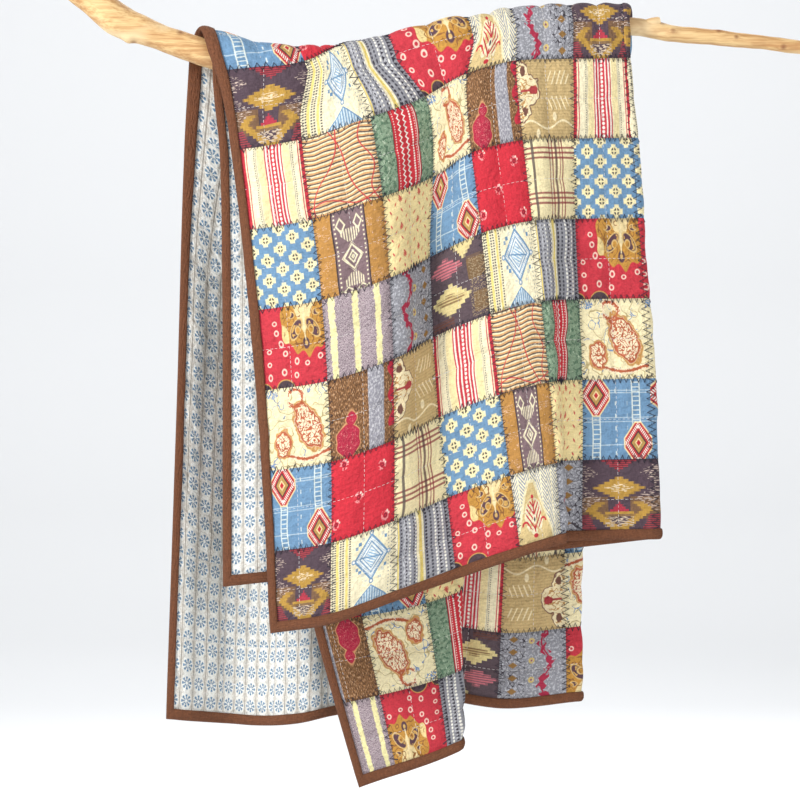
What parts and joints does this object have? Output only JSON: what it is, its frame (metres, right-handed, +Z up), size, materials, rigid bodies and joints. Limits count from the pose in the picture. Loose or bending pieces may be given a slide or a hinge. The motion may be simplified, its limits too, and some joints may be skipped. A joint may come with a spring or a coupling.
{
  "type": "quilt on a branch rack",
  "caption": "Bound patchwork quilt folded lengthwise and hung over a peeled natural branch; it lifts off and its two sides swing.",
  "frame": {"origin": "middle of the branch's right sawn end", "axes": "+X along the branch out of its right sawn end, -Y the quilt's front, +Z up"},
  "size_m": [0.9143, 0.1739, 0.9576],
  "materials": {
    "patchwork": "printed cotton patches in red, blue, cream, brown and grey, zigzag embroidered seams",
    "batting": "cotton wadding, not seen",
    "backing": "off-white printed cotton with blue rosettes in columns",
    "binding": "plain brown cotton strip folded round the edge",
    "branch": "peeled dry wood, matt"
  },
  "bodies": {
    "branch": {"branch": "branch"},
    "ridge": {"ridge_outer_patchwork": "patchwork", "ridge_outer_batting": "batting", "ridge_outer_backing": "backing", "ridge_outer_side_binding": "binding", "ridge_inner_patchwork": "patchwork", "ridge_inner_batting": "batting", "ridge_inner_backing": "backing", "ridge_inner_side_binding": "binding"},
    "front": {"front_outer_patchwork": "patchwork", "front_outer_batting": "batting", "front_outer_backing": "backing", "front_outer_side_binding": "binding", "front_outer_hem_binding": "binding", "front_inner_patchwork": "patchwork", "front_inner_batting": "batting", "front_inner_backing": "backing", "front_inner_side_binding": "binding", "front_inner_hem_binding": "binding"},
    "rear": {"rear_outer_patchwork": "patchwork", "rear_outer_batting": "batting", "rear_outer_backing": "backing", "rear_outer_side_binding": "binding", "rear_outer_hem_binding": "binding", "rear_inner_patchwork": "patchwork", "rear_inner_batting": "batting", "rear_inner_backing": "backing", "rear_inner_side_binding": "binding", "rear_inner_hem_binding": "binding"}
  },
  "joints": [
    {"name": "quilt_lift", "type": "slide", "parent": "branch", "child": "ridge", "axis": [0, 0, 1], "range_m": [0, 0.9]},
    {"name": "front_swing", "type": "hinge", "parent": "ridge", "child": "front", "pos_m": [-0.47, -0.0565, -0.06], "axis": [-1, 0, 0], "range_deg": [0, 35]},
    {"name": "rear_swing", "type": "hinge", "parent": "ridge", "child": "rear", "pos_m": [-0.47, 0.0555, -0.06], "axis": [1, 0, 0], "range_deg": [0, 35]}
  ]
}
